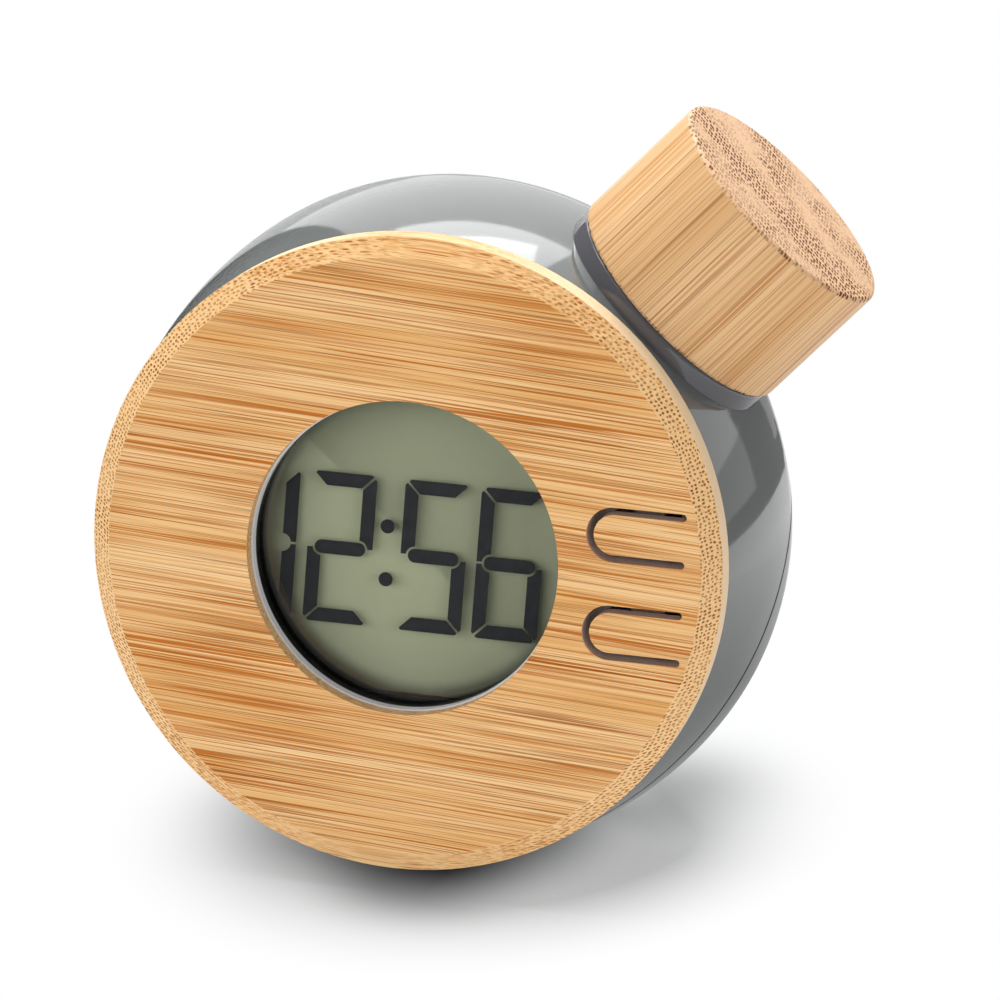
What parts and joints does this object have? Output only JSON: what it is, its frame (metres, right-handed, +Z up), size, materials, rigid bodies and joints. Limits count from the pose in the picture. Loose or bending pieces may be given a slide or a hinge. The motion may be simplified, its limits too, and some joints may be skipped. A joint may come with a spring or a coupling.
{
  "type": "desk clock",
  "caption": "Round water-filled desk clock: glossy grey ball body, bamboo front disc with a digital display and press keys, and a bamboo stopper cap on a side neck.",
  "frame": {"origin": "middle of the rubber foot's underside, on the table", "axes": "+Z up, +X to the right as seen by someone reading the clock, the bamboo front looks towards -Y and leans back"},
  "size_m": [0.0952, 0.0539, 0.0938],
  "materials": {
    "bamboo": "satin, clear matt lacquer",
    "grey_gloss": "gloss",
    "dark_rubber": "matte",
    "light_plastic": "satin",
    "tape": "matte",
    "clear_glass": "clear",
    "lcd_dark": "matte",
    "lcd_back": "matte",
    "board_green": "satin",
    "black_plastic": "matte",
    "white_plastic": "satin",
    "aluminium": "satin",
    "steel": "bright",
    "zinc": "dull",
    "copper": "dull"
  },
  "bodies": {
    "case": {"board_screw_1": "steel", "board_screw_2": "steel", "board_screw_3": "steel", "board_screw_4": "steel", "chip_cover": "black_plastic", "circuit_board": "board_green", "copper_plate": "copper", "copper_terminal": "copper", "copper_terminal_seal": "dark_rubber", "cup_gasket": "dark_rubber", "display_frame": "light_plastic", "foot_pad": "dark_rubber", "frame_screw_1": "steel", "frame_screw_2": "steel", "frame_screw_3": "steel", "frame_screw_4": "steel", "front_panel": "bamboo", "front_shell": "grey_gloss", "lcd_front_glass": "clear_glass", "lcd_rear_glass": "clear_glass", "lcd_reflector": "lcd_back", "lcd_segments": "lcd_dark", "lower_connector": "dark_rubber", "lower_contact_pad": "copper", "memory_capacitor": "aluminium", "module_cup": "light_plastic", "panel_tape": "tape", "rear_shell": "grey_gloss", "shell_seam": "dark_rubber", "upper_connector": "dark_rubber", "upper_contact_pad": "copper", "window_ring": "light_plastic", "zinc_plate": "zinc", "zinc_terminal": "copper", "zinc_terminal_seal": "dark_rubber"},
    "cap": {"cap_bamboo": "bamboo", "cap_plug": "light_plastic", "cap_seal": "dark_rubber"},
    "upper_key": {"upper_key": "bamboo", "upper_key_post": "white_plastic", "upper_contact_pill": "dark_rubber"},
    "lower_key": {"lower_key": "bamboo", "lower_key_post": "white_plastic", "lower_contact_pill": "dark_rubber"}
  },
  "joints": [
    {"name": "cap_lift", "type": "slide", "parent": "case", "child": "cap", "axis": [0.6782, 0.1086, 0.7268], "range_m": [0, 0.03]},
    {"name": "upper_key_press", "type": "hinge", "parent": "case", "child": "upper_key", "pos_m": [0.035, -0.01865, 0.04819], "axis": [0, -0.1478, -0.989], "range_deg": [0, 2.5], "stiffness_Nm_per_rad": 0.2},
    {"name": "lower_key_press", "type": "hinge", "parent": "case", "child": "lower_key", "pos_m": [0.035, -0.02047, 0.03602], "axis": [0, -0.1478, -0.989], "range_deg": [0, 2.5], "stiffness_Nm_per_rad": 0.2}
  ]
}
